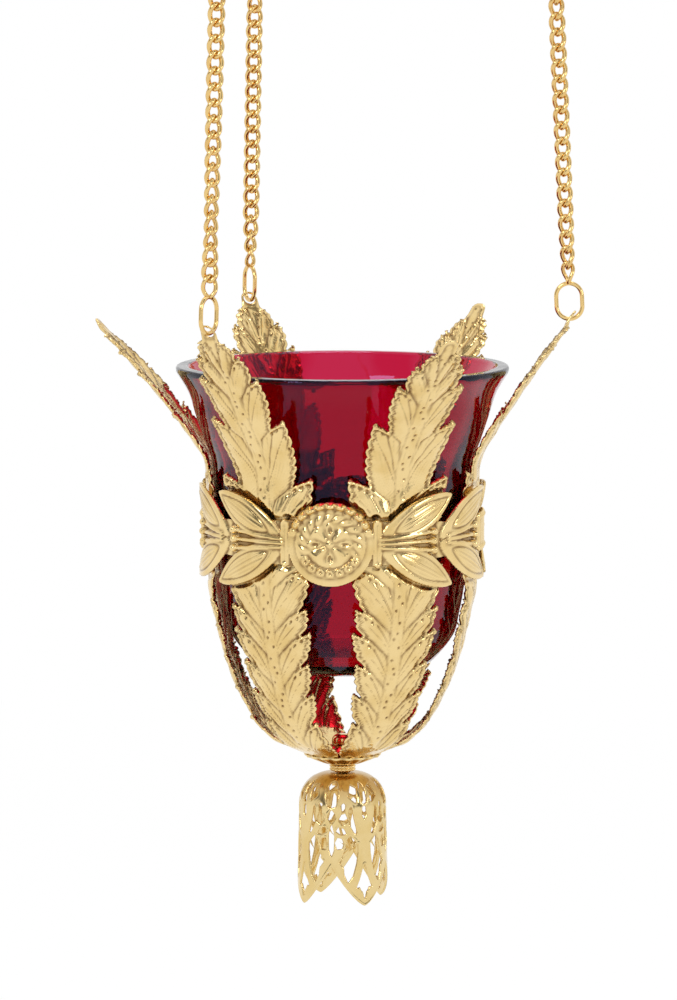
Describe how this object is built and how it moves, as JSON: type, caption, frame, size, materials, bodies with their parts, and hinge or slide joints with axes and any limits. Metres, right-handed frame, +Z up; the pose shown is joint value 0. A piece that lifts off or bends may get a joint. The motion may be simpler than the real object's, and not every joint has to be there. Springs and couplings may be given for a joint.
{
  "type": "hanging vigil lamp",
  "caption": "Hanging vigil lamp: ruby glass cup in a basket of stamped acanthus leaves with a foliate band and a pierced bell, hung on curb chains from a crown and ring.",
  "frame": {"origin": "inner top of the hanging ring, where the hook that carries the lamp bears", "axes": "+Z up along the lamp's axis, +X to the right and +Y away from a viewer who faces the band's medallion"},
  "size_m": [0.1183, 0.1078, 0.2743],
  "materials": {
    "stamped_gold": "stamped sheet, pale polished gold plate",
    "bell_gold": "pierced and polished gold plate",
    "chain_gold": "bright orange gold plate on drawn wire",
    "ruby_glass": "pressed ruby glass, smooth and slightly wavy"
  },
  "bodies": {
    "hanger": {"hanging_ring": "chain_gold"},
    "crown": {"crown_eye": "chain_gold", "crown_hub": "chain_gold", "crown_arm_right": "chain_gold", "crown_arm_rear_left": "chain_gold", "crown_arm_front_left": "chain_gold"},
    "top_ring_right": {"top_ring_right": "chain_gold"},
    "top_ring_rear_left": {"top_ring_rear_left": "chain_gold"},
    "top_ring_front_left": {"top_ring_front_left": "chain_gold"},
    "chain_right": {"chain_right": "chain_gold"},
    "chain_rear_left": {"chain_rear_left": "chain_gold"},
    "chain_front_left": {"chain_front_left": "chain_gold"},
    "lower_ring_right": {"lower_ring_right": "chain_gold"},
    "lower_ring_rear_left": {"lower_ring_rear_left": "chain_gold"},
    "lower_ring_front_left": {"lower_ring_front_left": "chain_gold"},
    "basket": {"leaf_right": "stamped_gold", "leaf_rear_right": "stamped_gold", "leaf_rear_left": "stamped_gold", "leaf_left": "stamped_gold", "leaf_front_left": "stamped_gold", "leaf_front_right": "stamped_gold", "band_front": "stamped_gold", "band_rear": "stamped_gold", "inner_rosette": "stamped_gold", "outer_rosette": "stamped_gold", "neck_collar": "chain_gold", "bell": "bell_gold", "centre_bolt": "chain_gold", "bell_nut": "chain_gold"},
    "cup": {"glass_cup": "ruby_glass"}
  },
  "joints": [
    {"name": "crown_swing", "type": "hinge", "parent": "hanger", "child": "crown", "pos_m": [0, 0, -0.017], "axis": [0, 1, 0], "range_deg": [-25, 25]},
    {"name": "sway_side", "type": "hinge", "parent": "crown", "child": "top_ring_right", "pos_m": [0.05041, -0.00441, -0.03805], "axis": [0, 1, 0], "range_deg": [-7, 7]},
    {"name": "sway_side_rear_left", "type": "hinge", "parent": "crown", "child": "top_ring_rear_left", "pos_m": [-0.02138, 0.04586, -0.03805], "axis": [0, 1, 0], "range_deg": [-7, 7]},
    {"name": "sway_side_front_left", "type": "hinge", "parent": "crown", "child": "top_ring_front_left", "pos_m": [-0.02902, -0.04145, -0.03805], "axis": [0, 1, 0], "range_deg": [-7, 7]},
    {"name": "sway_fore", "type": "hinge", "parent": "top_ring_right", "child": "chain_right", "pos_m": [0.05075, -0.00444, -0.04529], "axis": [1, 0, 0], "range_deg": [-7, 7]},
    {"name": "sway_fore_rear_left", "type": "hinge", "parent": "top_ring_rear_left", "child": "chain_rear_left", "pos_m": [-0.02153, 0.04617, -0.04529], "axis": [1, 0, 0], "range_deg": [-7, 7]},
    {"name": "sway_fore_front_left", "type": "hinge", "parent": "top_ring_front_left", "child": "chain_front_left", "pos_m": [-0.02922, -0.04173, -0.04529], "axis": [1, 0, 0], "range_deg": [-7, 7]},
    {"name": "ring_tilt_right", "type": "hinge", "parent": "chain_right", "child": "lower_ring_right", "pos_m": [0.05436, -0.00476, -0.12114], "axis": [1, 0, 0], "range_deg": [-7, 7]},
    {"name": "ring_tilt_rear_left", "type": "hinge", "parent": "chain_rear_left", "child": "lower_ring_rear_left", "pos_m": [-0.02306, 0.04945, -0.12114], "axis": [1, 0, 0], "range_deg": [-7, 7]},
    {"name": "ring_tilt_front_left", "type": "hinge", "parent": "chain_front_left", "child": "lower_ring_front_left", "pos_m": [-0.0313, -0.0447, -0.12114], "axis": [1, 0, 0], "range_deg": [-7, 7]},
    {"name": "basket_tilt", "type": "hinge", "parent": "lower_ring_right", "child": "basket", "pos_m": [0.05477, -0.00479, -0.12973], "axis": [0, 1, 0], "range_deg": [-7, 7]},
    {"name": "cup_lift", "type": "slide", "parent": "basket", "child": "cup", "axis": [0, 0, 1], "range_m": [0, 0.06]}
  ],
  "couplings": [
    {"joint": "sway_side_rear_left", "follows": "sway_side", "ratio": 1},
    {"joint": "sway_side_front_left", "follows": "sway_side", "ratio": 1},
    {"joint": "basket_tilt", "follows": "sway_side", "ratio": -0.92041},
    {"joint": "sway_fore_rear_left", "follows": "sway_fore", "ratio": 1},
    {"joint": "sway_fore_front_left", "follows": "sway_fore", "ratio": 1},
    {"joint": "ring_tilt_right", "follows": "sway_fore", "ratio": -0.93368},
    {"joint": "ring_tilt_rear_left", "follows": "sway_fore", "ratio": -0.93368},
    {"joint": "ring_tilt_front_left", "follows": "sway_fore", "ratio": -0.93368}
  ]
}
